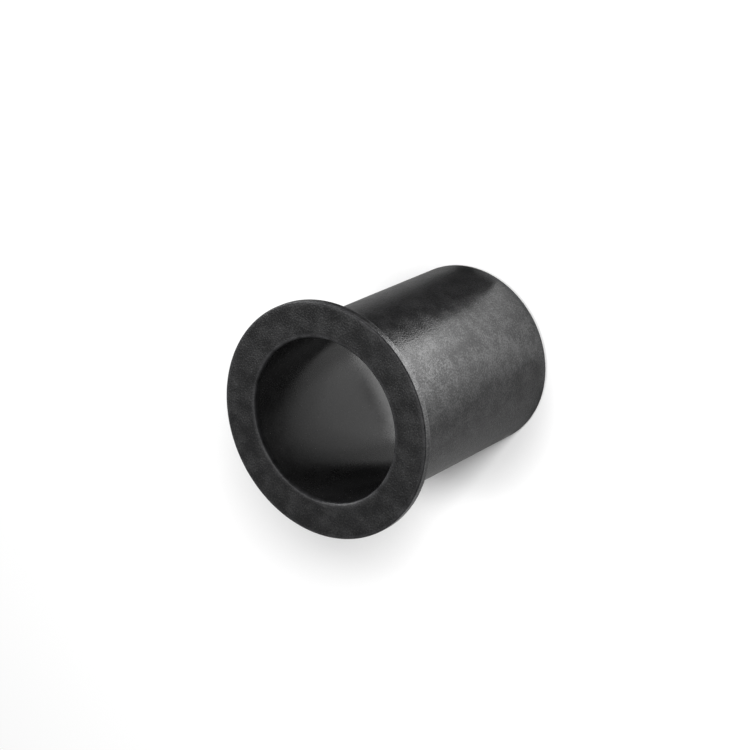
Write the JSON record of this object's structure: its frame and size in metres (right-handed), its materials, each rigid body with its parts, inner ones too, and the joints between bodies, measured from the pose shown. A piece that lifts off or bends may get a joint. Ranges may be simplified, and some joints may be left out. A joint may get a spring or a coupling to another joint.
{
  "type": "flanged sleeve bushing",
  "caption": "Moulded black plastic plain bearing: a thin-walled sleeve with a through bore and a flat flange at one end.",
  "frame": {"origin": "centre of the sleeve's end face, which the part stands on", "axes": "+Z along the bore from the sleeve end to the flange; the part is round about Z, so X and Y are free"},
  "size_m": [0.0288, 0.0288, 0.031],
  "materials": {
    "moulded_polyamide": "matt near-black, fine spark-eroded mould grain outside, smoother in the bore"
  },
  "bodies": {
    "root": {"flanged_sleeve": "moulded_polyamide"}
  },
  "joints": []
}
